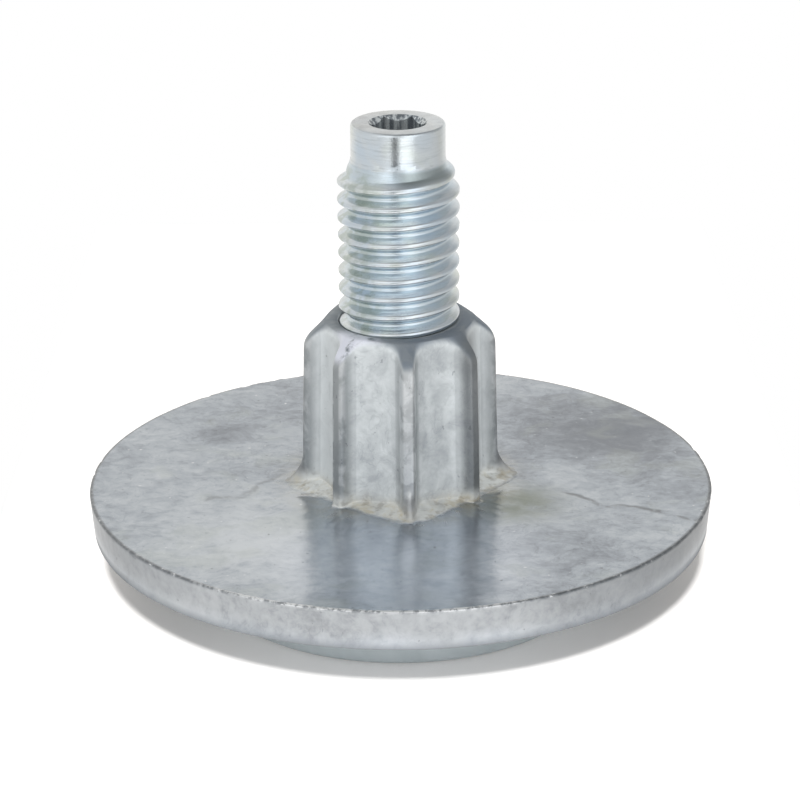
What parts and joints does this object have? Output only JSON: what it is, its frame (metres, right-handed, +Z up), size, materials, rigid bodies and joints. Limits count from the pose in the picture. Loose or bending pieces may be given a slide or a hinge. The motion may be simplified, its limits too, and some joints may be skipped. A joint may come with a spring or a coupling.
{
  "type": "furniture leveling foot",
  "caption": "Leveling foot: a round die-cast base with a fluted wrench hub screws along an upright M10 stud with a hex socket and stands on a snap-in plastic glide pad.",
  "frame": {"origin": "on the stud's axis, on the floor under the glide pad", "axes": "+Z up along the stud, -Y towards the picture's front, +X to its right"},
  "size_m": [0.052, 0.052, 0.0402],
  "materials": {
    "die_cast_zinc": "as-cast zinc alloy, satin, with flow marks and bright edges",
    "zinc_plated_steel": "bright bluish zinc plating",
    "grey_plastic": "smooth moulded blue-grey plastic"
  },
  "bodies": {
    "stud": {"threaded_stud": "zinc_plated_steel"},
    "pad": {"glide_pad": "grey_plastic"},
    "base": {"base_casting": "die_cast_zinc"}
  },
  "joints": [
    {"name": "height_adjust", "type": "slide", "parent": "stud", "child": "pad", "axis": [0, 0, -1], "range_m": [0, 0.0075]},
    {"name": "base_turn", "type": "hinge", "parent": "pad", "child": "base", "pos_m": [0, 0, 0.0078], "axis": [0, 0, -1], "range_deg": [0, 1800]}
  ],
  "couplings": [
    {"joint": "height_adjust", "follows": "base_turn", "m_per_rad": 0.00023873}
  ]
}
